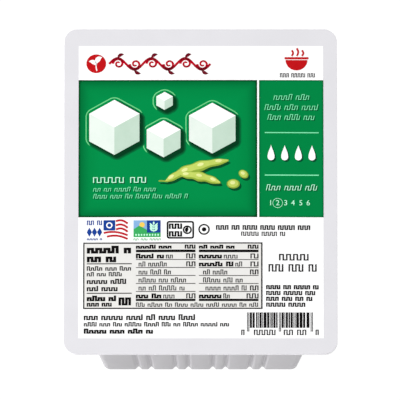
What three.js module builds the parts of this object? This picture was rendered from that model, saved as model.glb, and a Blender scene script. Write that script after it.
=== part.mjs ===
// A sealed tofu tub: a thermoformed polypropylene tray, filled to the brim with a block of tofu
// in water, and a printed film that is heat-sealed to the tray's flange.
//
// Millimetres, +Z up. The origin is at the middle of the foot that the tub stands on. The short
// sides face -Y (front) and +Y (back), and the long sides face -X and +X.

import * as THREE from "three";
import { mergeVertices } from "three/addons/utils/BufferGeometryUtils.js";

// Driving dimensions -------------------------------------------------------------------------

// The flange, which gives the pack its outer size, and the film on it.
const FLANGE_WIDTH = 112;
const FLANGE_LENGTH = 140;
const FLANGE_CORNER = 5.5;
const FLANGE_THICKNESS = 0.9;
const FILM_THICKNESS = 0.3;
const PACK_HEIGHT = 51;

// The walls hang inside the flange and lean in towards the base.
const OVERHANG_SIDE = 10;
const OVERHANG_END = 5.8;
const LEAN_SIDE = 6;
const LEAN_END = 3.5;
const CORNER_TOP = 4.5;
const CORNER_BASE = 3;
const NECK_RADIUS = 1.2;

// The foot is a flat band with a rounded outer edge, round a base panel that is set up a little.
const FOOT_RADIUS = 0.8;
const FOOT_BAND = 6;
const PANEL_SLOPE = 1.5;
const PANEL_RISE = 1.2;
const PANEL_CORNER = 2.5;

// Stiffening grooves run up all four walls in pairs, from the foot to just under the flange.
const GROOVE_DEPTH = 1.2;
const GROOVE_WIDTH = 3.1;
const GROOVE_SPACING = 5.2;
const PAIR_SPACING = 15.2;
const PAIRS_END = 4;
const PAIRS_SIDE = 7;
const GROOVE_TOP_GAP = 5;
const GROOVE_FADE = 3;

// How finely curves are cut into facets.
const GROOVE_STEPS = 4;
const CORNER_STEPS = 5;
const FILLET_STEPS = 2;

// Sizes that follow --------------------------------------------------------------------------

const TRAY_HEIGHT = PACK_HEIGHT - FILM_THICKNESS;
const FLANGE_UNDERSIDE = TRAY_HEIGHT - FLANGE_THICKNESS;

const flange = {
  halfWidth: FLANGE_WIDTH / 2,
  halfLength: FLANGE_LENGTH / 2,
  corner: FLANGE_CORNER,
};

// The wall's outline at a height: a rounded rectangle that shrinks evenly from flange to base.
function wallOutline(z) {
  const drop = 1 - z / FLANGE_UNDERSIDE;
  return {
    halfWidth: flange.halfWidth - OVERHANG_SIDE - LEAN_SIDE * drop,
    halfLength: flange.halfLength - OVERHANG_END - LEAN_END * drop,
    corner: THREE.MathUtils.lerp(CORNER_TOP, CORNER_BASE, drop),
  };
}

// Stations round the tray --------------------------------------------------------------------

// A station is one place on every outline. It has the corner or edge point that it starts from,
// in fractions of the straight edges' half lengths, the way out from there, and how far down
// into a groove it is, from 0 on the wall to 1 at the bottom of the groove.
function station(across, along, angle, groove = 0) {
  return { across, along, outward: new THREE.Vector2(Math.cos(angle), Math.sin(angle)), groove };
}

// Where the grooves' centres lie along a wall, as distances from its middle at the base.
function grooveCentres(pairs) {
  const centres = [];
  for (let pair = 0; pair < pairs; pair += 1) {
    const middle = (pair - (pairs - 1) / 2) * PAIR_SPACING;
    centres.push(middle - GROOVE_SPACING / 2, middle + GROOVE_SPACING / 2);
  }
  return centres;
}

// The stations of one straight wall: each groove is a smooth cosine valley.
function edgeStations(centres, halfStraight, place) {
  const stations = [];
  for (const centre of centres) {
    for (let step = 0; step <= GROOVE_STEPS; step += 1) {
      const offset = step / GROOVE_STEPS - 0.5;
      const fraction = (centre + offset * GROOVE_WIDTH) / halfStraight;
      const depth = 0.5 + 0.5 * Math.cos(2 * Math.PI * offset);
      stations.push(place(fraction, depth));
    }
  }
  return stations;
}

// The stations of the rounded corner that follows, turned a quarter from the wall before it.
function cornerStations(across, along, startAngle) {
  const stations = [];
  for (let step = 0; step <= CORNER_STEPS; step += 1) {
    stations.push(station(across, along, startAngle + (step / CORNER_STEPS) * (Math.PI / 2)));
  }
  return stations;
}

// All the way round, anticlockwise from the front left corner as seen from above.
function trayStations() {
  const base = wallOutline(0);
  const acrossHalf = base.halfWidth - base.corner;
  const alongHalf = base.halfLength - base.corner;
  const end = grooveCentres(PAIRS_END);
  const side = grooveCentres(PAIRS_SIDE);
  const quarter = Math.PI / 2;
  return [
    ...edgeStations(end, acrossHalf, (u, groove) => station(u, -1, -quarter, groove)),
    ...cornerStations(1, -1, -quarter),
    ...edgeStations(side, alongHalf, (u, groove) => station(1, u, 0, groove)),
    ...cornerStations(1, 1, 0),
    ...edgeStations(end, acrossHalf, (u, groove) => station(-u, 1, quarter, groove)),
    ...cornerStations(-1, 1, quarter),
    ...edgeStations(side, alongHalf, (u, groove) => station(-1, -u, 2 * quarter, groove)),
    ...cornerStations(-1, -1, 2 * quarter),
  ];
}

// Rings up the tray --------------------------------------------------------------------------

// A ring is an outline at a height, moved in or out by an inset, with the grooves' depth there.
function ring(outline, z, inset = 0, grooveDepth = 0) {
  return {
    z,
    halfWidth: outline.halfWidth - inset,
    halfLength: outline.halfLength - inset,
    corner: Math.max(outline.corner - inset, PANEL_CORNER),
    grooveDepth,
  };
}

// The middle of a flat face, where all the stations meet.
function pole(z) {
  return { z, halfWidth: 0, halfLength: 0, corner: 0, grooveDepth: 0 };
}

// The base: the raised panel, the flat foot band round it and the foot's rounded outer edge.
function baseRings() {
  const base = wallOutline(0);
  const rings = [
    pole(PANEL_RISE),
    ring(base, PANEL_RISE, FOOT_BAND + PANEL_SLOPE),
    ring(base, 0, FOOT_BAND),
  ];
  for (let step = 0; step <= FILLET_STEPS; step += 1) {
    const angle = (step / FILLET_STEPS) * (Math.PI / 2);
    const z = FOOT_RADIUS * (1 - Math.cos(angle));
    const inset = FOOT_RADIUS * (1 - Math.sin(angle));
    rings.push(ring(wallOutline(z), z, inset, GROOVE_DEPTH));
  }
  return rings;
}

// The walls: the grooves stay at full depth, then run out smoothly below the flange.
function wallRings() {
  const grooveTop = FLANGE_UNDERSIDE - GROOVE_TOP_GAP;
  const fadeStart = grooveTop - GROOVE_FADE;
  const fadeMiddle = grooveTop - GROOVE_FADE / 2;
  return [
    ring(wallOutline(fadeStart), fadeStart, 0, GROOVE_DEPTH),
    ring(wallOutline(fadeMiddle), fadeMiddle, 0, GROOVE_DEPTH / 2),
    ring(wallOutline(grooveTop), grooveTop),
  ];
}

// The flange: a small hollow curve out of the wall, the underside, the cut edge and the top.
function flangeRings() {
  const rings = [];
  for (let step = 0; step <= FILLET_STEPS; step += 1) {
    const angle = (step / FILLET_STEPS) * (Math.PI / 2);
    const z = FLANGE_UNDERSIDE - NECK_RADIUS * (1 - Math.sin(angle));
    const outset = NECK_RADIUS * (1 - Math.cos(angle));
    rings.push(ring(wallOutline(z), z, -outset));
  }
  rings.push(ring(flange, FLANGE_UNDERSIDE), ring(flange, TRAY_HEIGHT), pole(TRAY_HEIGHT));
  return rings;
}

// Geometry -----------------------------------------------------------------------------------

// A round lathe body, squared up: each of its vertices goes to its station on its ring.
function trayGeometry() {
  const stations = trayStations();
  const rings = [...baseRings(), ...wallRings(), ...flangeRings()];
  const profile = rings.map((each) => new THREE.Vector2(each.halfWidth, each.z));
  const geometry = new THREE.LatheGeometry(profile, stations.length);
  const position = geometry.attributes.position;
  for (let i = 0; i < position.count; i += 1) {
    const at = stations[Math.floor(i / rings.length) % stations.length];
    const on = rings[i % rings.length];
    const reach = on.corner - at.groove * on.grooveDepth;
    const x = at.across * (on.halfWidth - on.corner) + at.outward.x * reach;
    const y = at.along * (on.halfLength - on.corner) + at.outward.y * reach;
    position.setXYZ(i, x, y, on.z);
  }
  geometry.deleteAttribute("normal");
  geometry.deleteAttribute("uv");
  return mergeVertices(geometry);
}

// The film is cut in the same stroke as the flange, so it has exactly the flange's outline.
function filmGeometry() {
  const x = flange.halfWidth - flange.corner;
  const y = flange.halfLength - flange.corner;
  const outline = new THREE.Shape();
  outline.absarc(x, -y, flange.corner, -Math.PI / 2, 0, false);
  outline.absarc(x, y, flange.corner, 0, Math.PI / 2, false);
  outline.absarc(-x, y, flange.corner, Math.PI / 2, Math.PI, false);
  outline.absarc(-x, -y, flange.corner, Math.PI, 1.5 * Math.PI, false);
  outline.closePath();
  const settings = { depth: FILM_THICKNESS, bevelEnabled: false, curveSegments: CORNER_STEPS };
  return new THREE.ExtrudeGeometry(outline, settings);
}

// Materials and parts ------------------------------------------------------------------------

const milkyPolypropylene = new THREE.MeshStandardMaterial({
  color: 0xe6e5e8,
  roughness: 0.35,
  metalness: 0,
});

const printedFilm = new THREE.MeshStandardMaterial({
  color: 0xf6f6f7,
  roughness: 0.3,
  metalness: 0,
});

const tub = new THREE.Mesh(trayGeometry(), milkyPolypropylene);
tub.name = "tub";

const lidFilm = new THREE.Mesh(filmGeometry(), printedFilm);
lidFilm.name = "lid_film";
lidFilm.position.z = TRAY_HEIGHT;

const pack = new THREE.Group();
pack.name = "sealed_tofu_tub";
pack.add(tub, lidFilm);

export default pack;
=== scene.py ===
"""A sealed tub of tofu: a tray of thermoformed polypropylene, filled to the brim with a block of
tofu in water, under a printed film that is welded to its flange.

Every size is in millimetres, and a mesh is turned to metres when it is finished. The tub stands on
z = 0 with its short sides facing -Y and +Y, and its print reads from -Y.
"""

import math
import random

import bmesh
import bpy
from mathutils import Matrix, Vector


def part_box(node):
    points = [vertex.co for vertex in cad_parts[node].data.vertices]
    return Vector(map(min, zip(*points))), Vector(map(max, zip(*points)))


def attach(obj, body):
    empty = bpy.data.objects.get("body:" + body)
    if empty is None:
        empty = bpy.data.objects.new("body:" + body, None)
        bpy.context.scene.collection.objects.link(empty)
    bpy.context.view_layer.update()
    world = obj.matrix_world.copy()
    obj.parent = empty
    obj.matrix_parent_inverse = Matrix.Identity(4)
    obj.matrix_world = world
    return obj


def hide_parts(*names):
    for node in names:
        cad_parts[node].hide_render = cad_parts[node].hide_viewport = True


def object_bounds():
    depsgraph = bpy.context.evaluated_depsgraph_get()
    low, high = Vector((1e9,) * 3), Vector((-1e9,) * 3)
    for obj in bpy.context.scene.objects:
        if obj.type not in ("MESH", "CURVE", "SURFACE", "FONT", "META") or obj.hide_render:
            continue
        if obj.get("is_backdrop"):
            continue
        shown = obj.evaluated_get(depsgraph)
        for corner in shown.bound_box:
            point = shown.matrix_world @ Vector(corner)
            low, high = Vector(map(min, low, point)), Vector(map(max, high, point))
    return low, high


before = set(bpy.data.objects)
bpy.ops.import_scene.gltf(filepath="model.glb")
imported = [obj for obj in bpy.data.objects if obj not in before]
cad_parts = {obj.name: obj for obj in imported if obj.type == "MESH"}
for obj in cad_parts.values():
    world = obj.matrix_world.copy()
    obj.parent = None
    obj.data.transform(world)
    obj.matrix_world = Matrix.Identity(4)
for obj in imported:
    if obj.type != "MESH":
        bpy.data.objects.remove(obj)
cad_low, cad_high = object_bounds()

# Tray -----------------------------------------------------------------------------------------
# The tray is milky polypropylene sheet, heated and drawn by vacuum into a cooled mould. Its walls
# lean in towards the foot, and pairs of shallow grooves stiffen them. The flange is left flat.

MM = 0.001
_, tub_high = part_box("tub")
HALF_WIDTH = tub_high.x / MM
HALF_LENGTH = tub_high.y / MM
TRAY_TOP = tub_high.z / MM
FLANGE_THICKNESS = 0.9
FLANGE_CORNER = 5.5
FLANGE_UNDERSIDE = TRAY_TOP - FLANGE_THICKNESS
RIM_RADIUS = 0.22

OVERHANG_SIDE = 10
OVERHANG_END = 5.8
LEAN_SIDE = 6
LEAN_END = 3.5
CORNER_TOP = 4.5
CORNER_BASE = 3
NECK_RADIUS = 1.2

FOOT_RADIUS = 0.8
FOOT_BAND = 6
PANEL_SLOPE = 1.5
PANEL_RISE = 1.2
PANEL_CORNER = 2.5

GROOVE_DEPTH = 1.2
GROOVE_WIDTH = 3.1
GROOVE_SPACING = 5.2
PAIR_SPACING = 15.2
PAIRS_END = 4
PAIRS_SIDE = 7
GROOVE_TOP_GAP = 5
GROOVE_FADE = 3

GROOVE_STEPS = 12
CORNER_STEPS = 12
FILLET_STEPS = 6
WALL_STEPS = 8
QUARTER_TURN = math.pi / 2
SAME_PLACE = 0.001


def wall_outline(z):
    """The wall's outline at a height, as half width, half length and corner radius."""
    drop = 1 - z / FLANGE_UNDERSIDE
    half_width = HALF_WIDTH - OVERHANG_SIDE - LEAN_SIDE * drop
    half_length = HALF_LENGTH - OVERHANG_END - LEAN_END * drop
    return half_width, half_length, CORNER_TOP + (CORNER_BASE - CORNER_TOP) * drop


def groove_stations(pairs, half_straight):
    """Where the points of one wall's grooves lie, from -1 to 1 along it, and how deep each is."""
    for pair in range(pairs):
        middle = (pair - (pairs - 1) / 2) * PAIR_SPACING
        for centre in (middle - GROOVE_SPACING / 2, middle + GROOVE_SPACING / 2):
            for step in range(GROOVE_STEPS + 1):
                offset = step / GROOVE_STEPS - 0.5
                fraction = (centre + offset * GROOVE_WIDTH) / half_straight
                yield fraction, 0.5 + 0.5 * math.cos(2 * math.pi * offset)


def tray_stations():
    """All the way round: corner point (across, along), direction outwards and depth in a groove."""
    half_width, half_length, corner = wall_outline(0)
    walls = ((PAIRS_END, half_width - corner), (PAIRS_SIDE, half_length - corner))
    for turn, wall in enumerate(walls + walls):
        facing = (turn - 1) * QUARTER_TURN
        out_x, out_y = round(math.cos(facing)), round(math.sin(facing))
        for fraction, depth in groove_stations(*wall):
            yield out_x - out_y * fraction, out_y + out_x * fraction, facing, depth
        for step in range(CORNER_STEPS + 1):
            yield out_x - out_y, out_y + out_x, facing + step / CORNER_STEPS * QUARTER_TURN, 0


def ring(outline, z, inset=0.0, groove_depth=0.0):
    """An outline at a height, moved in by an inset, with the depth that the grooves have there."""
    half_width, half_length, corner = outline
    corner = max(corner - inset, PANEL_CORNER)
    return half_width - inset, half_length - inset, corner, z, groove_depth


def tray_rings():
    """The rings from the middle of the base, out and up the walls and round the flange."""
    base = wall_outline(0)
    flange = (HALF_WIDTH, HALF_LENGTH, FLANGE_CORNER)
    arc = [step / FILLET_STEPS * QUARTER_TURN for step in range(FILLET_STEPS + 1)]
    fade_start = FLANGE_UNDERSIDE - GROOVE_TOP_GAP - GROOVE_FADE
    yield ring(base, PANEL_RISE, FOOT_BAND + PANEL_SLOPE)
    yield ring(base, 0, FOOT_BAND)
    for angle in arc:
        z = FOOT_RADIUS * (1 - math.cos(angle))
        yield ring(wall_outline(z), z, FOOT_RADIUS * (1 - math.sin(angle)), GROOVE_DEPTH)
    for step in range(1, WALL_STEPS + 1):
        z = FOOT_RADIUS + (fade_start - FOOT_RADIUS) * step / WALL_STEPS
        yield ring(wall_outline(z), z, 0, GROOVE_DEPTH)
    for step in range(1, WALL_STEPS + 1):
        z = fade_start + GROOVE_FADE * step / WALL_STEPS
        depth = GROOVE_DEPTH * (0.5 + 0.5 * math.cos(math.pi * step / WALL_STEPS))
        yield ring(wall_outline(z), z, 0, depth)
    for angle in arc:
        z = FLANGE_UNDERSIDE - NECK_RADIUS * (1 - math.sin(angle))
        yield ring(wall_outline(z), z, -NECK_RADIUS * (1 - math.cos(angle)))
    for middle_z, way in ((FLANGE_UNDERSIDE + RIM_RADIUS, -1), (TRAY_TOP - RIM_RADIUS, 1)):
        for angle in arc[::-way]:
            z = middle_z + way * RIM_RADIUS * math.cos(angle)
            yield ring(flange, z, RIM_RADIUS * (1 - math.sin(angle)))


def move_to_ring(loop, station_of, stations, at):
    """Moves each vertex of a loop to its station on a ring."""
    half_width, half_length, corner, z, groove_depth = at
    for vertex in loop:
        across, along, angle, groove = stations[vertex[station_of]]
        reach = corner - groove * groove_depth
        x = across * (half_width - corner) + math.cos(angle) * reach
        y = along * (half_length - corner) + math.sin(angle) * reach
        vertex.co = (x, y, z)


def model_tray():
    """Grows the tray ring by ring from its base panel to the top of its flange."""
    stations = list(tray_stations())
    first, *others = tray_rings()
    tray = bmesh.new()
    station_of = tray.verts.layers.int.new("station")
    made = bmesh.ops.create_circle(tray, segments=len(stations), radius=1, cap_ends=True)
    for number, vertex in enumerate(made["verts"]):
        vertex[station_of] = number
    move_to_ring(made["verts"], station_of, stations, first)
    rim = tray.edges[:]
    for at in others:
        grown = bmesh.ops.extrude_edge_only(tray, edges=rim)["geom"]
        rim = [item for item in grown if isinstance(item, bmesh.types.BMEdge)]
        loop = [item for item in grown if isinstance(item, bmesh.types.BMVert)]
        move_to_ring(loop, station_of, stations, at)
    bmesh.ops.contextual_create(tray, geom=rim)
    bmesh.ops.remove_doubles(tray, verts=tray.verts, dist=SAME_PLACE)
    bmesh.ops.recalc_face_normals(tray, faces=tray.faces)
    return tray


SHARP_ANGLE = math.radians(35)


def finish_mesh(name, model, materials):
    """Turns a model in millimetres to a smooth-shaded object in metres."""
    bmesh.ops.scale(model, vec=(MM, MM, MM), verts=model.verts)
    mesh = bpy.data.meshes.new(name)
    model.to_mesh(mesh)
    model.free()
    mesh.shade_smooth()
    mesh.set_sharp_from_angle(angle=SHARP_ANGLE)
    for material in materials:
        mesh.materials.append(material)
    piece = bpy.data.objects.new(name, mesh)
    bpy.context.scene.collection.objects.link(piece)
    return piece


def colour(code):
    """An sRGB hex colour as linear red, green, blue and alpha."""
    channels = [int(code[i : i + 2], 16) / 255 for i in (1, 3, 5)]
    linear = [c / 12.92 if c <= 0.04045 else ((c + 0.055) / 1.055) ** 2.4 for c in channels]
    return (*linear, 1)


def add_node(tree, kind, inputs=(), stops=(), **settings):
    """Adds a shader node of a kind. An input takes a value, an output, or a node for that node's
    first output, and a ramp takes its stops."""
    node = tree.nodes.new("ShaderNode" + kind)
    for name, value in settings.items():
        setattr(node, name, value)
    for name, value in dict(inputs).items():
        if isinstance(value, bpy.types.Node):
            value = value.outputs[0]
        if isinstance(value, bpy.types.NodeSocket):
            tree.links.new(value, node.inputs[name])
        else:
            node.inputs[name].default_value = value
    for number, (position, code) in enumerate(stops):
        if number > 1:
            node.color_ramp.elements.new(position)
        node.color_ramp.elements[number].position = position
        node.color_ramp.elements[number].color = colour(code)
    return node


def new_material(name, cloud_size, detail, roughness=0.5):
    """A material, the place on the object that its patterns read, and clouds of a size in
    millimetres, for its colour and gloss to drift with."""
    material = bpy.data.materials.new(name)
    material.use_nodes = True
    tree = material.node_tree
    tree.nodes.clear()
    place = add_node(tree, "TexCoord").outputs["Object"]
    pattern = {"Scale": 1 / (cloud_size * MM), "Detail": detail, "Roughness": roughness}
    return material, tree, place, add_node(tree, "TexNoise", {"Vector": place, **pattern})


# Milky polypropylene sheet, vacuum formed: a satin, slightly waxy white that light soaks into a
# little, with faint clouds where the sheet stretched and the very fine grain of the mould. The
# flange has the sheet's own pale colour. The walls are painted darker, as painted shade under the
# flange, and a narrow band at the foot darker still, as a painted shadow where it meets the table.
# In the grooves the colour is painted brighter, as painted light that lifts the shade in them.
CLOUD_SIZE = 9
CLOUD_SHARE = 0.02
GRAIN_SIZE = 0.35
GRAIN_HEIGHT = 0.02
FLANGE_STOP = 0.9
# Painted light: how much brighter the grooves are painted.
GROOVE_PAINTED_LIGHT = 1.24
polypropylene, tree, place, clouds = new_material("milky_polypropylene", CLOUD_SIZE, detail=3)
grain = add_node(tree, "TexNoise", {"Vector": place, "Scale": 1 / (GRAIN_SIZE * MM), "Detail": 2})
height = add_node(tree, "SeparateXYZ", {"Vector": place}).outputs["Z"]
up_the_wall = add_node(
    tree, "MapRange", {"Value": height, "From Max": FLANGE_UNDERSIDE * MM, "To Max": FLANGE_STOP}
)
cloudy_height = add_node(
    tree, "Math", {0: clouds, 1: CLOUD_SHARE, 2: up_the_wall}, operation="MULTIPLY_ADD"
)
# Painted shade: the walls are painted darker than the flange, and the narrow band at the foot
# darker still.
sheet_and_painted_shade_stops = [(0.0, "#76757b"), (0.045, "#a8a6aa"), (0.84, "#aba9ad"), (FLANGE_STOP, "#e4e3e7")]
sheet_colour_with_painted_shade = add_node(tree, "ValToRGB", {"Fac": cloudy_height}, sheet_and_painted_shade_stops)

# How far a place lies behind the faces of the walls, which in a groove is how deep it is.
wall_lean = Vector((LEAN_SIDE, LEAN_END, 0)) / FLANGE_UNDERSIDE
wall_foot = Vector((*wall_outline(0)[:2], 0)) * MM
leaning = {0: height, 1: wall_lean, 2: wall_foot}
wall_faces = add_node(tree, "VectorMath", leaning, operation="MULTIPLY_ADD")
from_middle = add_node(tree, "VectorMath", {0: place}, operation="ABSOLUTE")
behind_faces = add_node(tree, "VectorMath", {0: wall_faces, 1: from_middle}, operation="SUBTRACT")
behind = add_node(tree, "SeparateXYZ", {"Vector": behind_faces}).outputs
in_groove = add_node(tree, "Math", {0: behind["X"], 1: behind["Y"]}, operation="MINIMUM")
from_corner = add_node(tree, "Math", {0: behind["X"], 1: behind["Y"]}, operation="MAXIMUM")
# Painted light: from the face of a wall to half a groove's depth, the colour is painted brighter,
# most on the straight walls and not at all at the corners.
corner_span = {"From Min": CORNER_TOP * MM, "From Max": 2 * CORNER_TOP * MM}
painted_light_range = {"To Min": 1.0, "To Max": GROOVE_PAINTED_LIGHT}
painted_light_peak = add_node(tree, "MapRange", {"Value": from_corner, **corner_span, **painted_light_range})
painted_light_span = {"From Max": 0.5 * GROOVE_DEPTH * MM, "To Min": 1.0, "To Max": painted_light_peak}
painted_groove_light = add_node(tree, "MapRange", {"Value": in_groove, **painted_light_span})
painted_light_and_shade_colour = add_node(tree, "HueSaturation", {"Color": sheet_colour_with_painted_shade, "Value": painted_groove_light})
satin = add_node(tree, "MapRange", {"Value": clouds, "To Min": 0.34, "To Max": 0.44})
relief = {"Height": grain, "Strength": 0.15, "Distance": GRAIN_HEIGHT * MM}
sheet_finish = {
    "Base Color": painted_light_and_shade_colour,
    "Roughness": satin,
    "IOR": 1.49,
    "Subsurface Weight": 0.2,
    "Subsurface Radius": (1, 1, 1),
    "Subsurface Scale": 1.2 * MM,
    "Normal": add_node(tree, "Bump", relief),
}
add_node(tree, "OutputMaterial", {"Surface": add_node(tree, "BsdfPrincipled", sheet_finish)})

tray = finish_mesh("tray", model_tray(), [polypropylene])
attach(tray, "root")
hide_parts("tub")

# Film lid -------------------------------------------------------------------------------------
# The lid is a clear film, welded to the whole flange and cut in the same stroke. Over the tray's
# opening the water and a little air below hold it in a low crown with a few slack waves.

film_low, film_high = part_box("lid_film")
FILM_UNDERSIDE = film_low.z / MM
FILM_TOP = film_high.z / MM
FILM_EDGE = 0.05
OPENING_HALF_WIDTH, OPENING_HALF_LENGTH, _ = wall_outline(FLANGE_UNDERSIDE)
CROWN = 0.45
WAVE_HEIGHT = 0.05
WAVE_LENGTH = 34
WAVE_SLANTS = (0.6, 0.4)
GRID = 2.5


def film_height(x, y):
    """How far the film's top stands above the flange at a place on the lid."""
    across = x / OPENING_HALF_WIDTH
    along = y / OPENING_HALF_LENGTH
    if abs(across) >= 1 or abs(along) >= 1:
        return 0
    dome = (1 - across**2) * (1 - along**2)
    wave = math.sin(2 * math.pi * (x + WAVE_SLANTS[0] * y) / WAVE_LENGTH)
    wave += math.sin(2 * math.pi * (y - WAVE_SLANTS[1] * x) / WAVE_LENGTH)
    return dome * (CROWN + WAVE_HEIGHT * wave)


def drape(model):
    """Lays a flat model over the film's crown, once it is cut through wherever it has to bend: on
    the lines of a grid and at the edges of the tray's opening."""
    for axis, edge in enumerate((OPENING_HALF_WIDTH, OPENING_HALF_LENGTH)):
        places = [vertex.co[axis] for vertex in model.verts]
        lowest, highest = min(places), max(places)
        lines = range(math.floor(lowest / GRID) + 1, math.ceil(highest / GRID))
        spots = [line * GRID for line in lines]
        spots += [spot for spot in (-edge, edge) if lowest < spot < highest]
        normal = Vector((0, 0, 0))
        normal[axis] = 1
        for spot in spots:
            bmesh.ops.bisect_plane(
                model,
                geom=model.verts[:] + model.edges[:] + model.faces[:],
                dist=SAME_PLACE / 10,
                plane_co=normal * spot,
                plane_no=normal,
            )
    for vertex in model.verts:
        vertex.co.z += film_height(vertex.co.x, vertex.co.y)


def round_off(model, geom, offset, segments, affect="EDGES"):
    """Rounds edges or corners of a model off."""
    bmesh.ops.bevel(
        model,
        geom=geom,
        offset=offset,
        offset_type="OFFSET",
        segments=segments,
        profile=0.5,
        affect=affect,
        material=-1,
    )


def model_film():
    """A plate with the flange's outline and its top edge just broken, draped over the opening."""
    film = bmesh.new()
    size = Matrix.Diagonal((2 * HALF_WIDTH, 2 * HALF_LENGTH, FILM_TOP - FILM_UNDERSIDE, 1))
    middle = Matrix.Translation((0, 0, (FILM_UNDERSIDE + FILM_TOP) / 2))
    bmesh.ops.create_cube(film, size=1, matrix=middle @ size)
    upright = [e for e in film.edges if e.verts[0].co.z != e.verts[1].co.z]
    round_off(film, upright, FLANGE_CORNER, 2 * CORNER_STEPS)
    top_rim = [e for e in film.edges if min(v.co.z for v in e.verts) > FILM_TOP - SAME_PLACE]
    round_off(film, top_rim, FILM_EDGE, 1)
    drape(film)
    return film


def smooth_finish(tree, tone, drift, smoothest, roughest, shine):
    """Ends the material of a smooth film or ink: its colour, a gloss that drifts between two
    roughnesses, and the strength of its highlights."""
    gloss = add_node(tree, "MapRange", {"Value": drift, "To Min": smoothest, "To Max": roughest})
    finish = {"Base Color": tone, "Roughness": gloss, "IOR": 1.5, "Specular IOR Level": shine}
    shader = add_node(tree, "BsdfPrincipled", finish)
    add_node(tree, "OutputMaterial", {"Surface": shader})


# Clear polyester and polyethylene film, cast smooth, over the white flange and the milky water: it
# looks like a cool pale grey with an even semi-gloss, whose tone and roughness drift a little.
HAZE_SIZE = 14
film_material, tree, _, haze = new_material("sealed_clear_film", HAZE_SIZE, detail=2)
haze_colour = add_node(tree, "ValToRGB", {"Fac": haze}, [(0.35, "#d6d5d9"), (0.65, "#d8d7db")])
smooth_finish(tree, haze_colour, haze, smoothest=0.26, roughest=0.34, shine=0.3)

film = finish_mesh("film", model_film(), [film_material])
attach(film, "root")
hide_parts("lid_film")

# White ground and green panels ----------------------------------------------------------------
# The film is printed in flat inks by rotogravure: a white ground first, then two green panels that
# darken towards their edges. Each ink is a thin closed layer that lies on the one below it.

INK_STEP = 0.03
INK_OVERLAP = 0.012
INK_DRIFT = 5
PANEL_DRIFT = 6
EDGE_BLEND = 2
ROUNDING_STEPS = 5

# Layers are counted from the lowest one of marks, whose top is the third step above the film.
GROUND_LAYER, PANEL_LAYER, STEPS_TO_MARKS = -2, -1, 3

# Each shape is given by its left, right, bottom and top, from the middle of the print. The film was
# cut a little late, so that the whole print sits this far off the middle of the lid.
REGISTER = Vector((0, -0.35, 0))
LABEL = (-50.05, 50.4, -62.85, 63.1)
LEFT_PANEL = (-50.1, 23.2, -10.9, 48.3)
RIGHT_PANEL = (24.0, 50.4, -10.9, 48.3)


def polygon(flat, corners, rounding=0.0):
    """Adds a shape with a few corners to flat artwork, rounded if asked."""
    vertices = [flat.verts.new((x, y, 0)) for x, y in corners]
    flat.faces.new(vertices)
    if rounding:
        round_off(flat, vertices, rounding, ROUNDING_STEPS, "VERTICES")


def rectangle(flat, left, right, bottom, top, rounding=0.0):
    """Adds a rectangle to flat artwork, with round corners if asked."""
    polygon(flat, [(left, bottom), (right, bottom), (right, top), (left, top)], rounding)


def lay_ink(page, flat, layer, ink):
    """Lays flat artwork on the film as a closed layer of ink, and adds it to a page of print."""
    top = FILM_TOP + (STEPS_TO_MARKS + layer) * INK_STEP
    thickness = INK_STEP + INK_OVERLAP
    bmesh.ops.translate(flat, verts=flat.verts, vec=REGISTER + Vector((0, 0, top - thickness)))
    grown = bmesh.ops.extrude_face_region(flat, geom=flat.faces[:], use_keep_orig=True)["geom"]
    raised = [item for item in grown if isinstance(item, bmesh.types.BMVert)]
    bmesh.ops.translate(flat, verts=raised, vec=(0, 0, thickness))
    bmesh.ops.recalc_face_normals(flat, faces=flat.faces)
    drape(flat)
    for face in flat.faces:
        face.material_index = ink
    mesh = bpy.data.meshes.new("ink")
    flat.to_mesh(mesh)
    flat.free()
    page.from_mesh(mesh)
    bpy.data.meshes.remove(mesh)


def print_piece(name, inks, shapes):
    """Prints a piece on the same body as the film, in its own inks. Each shape is the number of
    its ink, its layer, the function that draws it and what that function is given."""
    page = bmesh.new()
    for ink, layer, draw, *sizes in shapes:
        flat = bmesh.new()
        draw(flat, *sizes)
        lay_ink(page, flat, layer, ink)
    piece = finish_mesh(name, page, inks)
    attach(piece, "root")


def printed_ink(name, code, shade, shine=0.15):
    """A gravure ink under the film: its colour drifts a little to a second shade, and so does its
    gloss. The cells of the printing cylinder are too fine to show, so it is drawn coarser."""
    material, tree, _, drift = new_material(name, INK_DRIFT, detail=4, roughness=0.6)
    tone = add_node(tree, "ValToRGB", {"Fac": drift}, [(0.3, shade), (0.6, code)])
    smooth_finish(tree, tone, drift, smoothest=0.16, roughest=0.24, shine=shine)
    return material


def panel_ink(name, panel, stops, fade):
    """Green ink printed as a halftone, whose tones run in from the panel's edges over a fade."""
    left, right, bottom, top = panel
    half_size = Vector(((right - left) / 2, (top - bottom) / 2, 0)) * MM
    centre = (Vector(((right + left) / 2, (top + bottom) / 2, 0)) + REGISTER) * MM
    material, tree, place, drift = new_material(name, PANEL_DRIFT, detail=4)
    centred = add_node(tree, "Mapping", {"Vector": place, "Location": -centre})
    away = add_node(tree, "VectorMath", {0: centred}, operation="ABSOLUTE")
    from_edges = add_node(tree, "VectorMath", {0: half_size, 1: away}, operation="SUBTRACT")
    sides = add_node(tree, "SeparateXYZ", {"Vector": from_edges}).outputs
    blended = {0: sides["X"], 1: sides["Y"], 2: EDGE_BLEND * MM}
    nearest = add_node(tree, "Math", blended, operation="SMOOTH_MIN")
    depth = add_node(tree, "MapRange", {"Value": nearest, "From Max": fade * MM})
    green = add_node(tree, "ValToRGB", {"Fac": depth}, stops)
    smooth_finish(tree, green, drift, smoothest=0.16, roughest=0.22, shine=0.08)
    return material


# White ink of titanium dioxide: a bright neutral white that hides the tray.
white_ground_ink = printed_ink("white_ground_ink", "#f7f7f7", "#f4f4f4")
print_piece("label_ground", [white_ground_ink], [(0, GROUND_LAYER, rectangle, *LABEL)])

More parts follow.
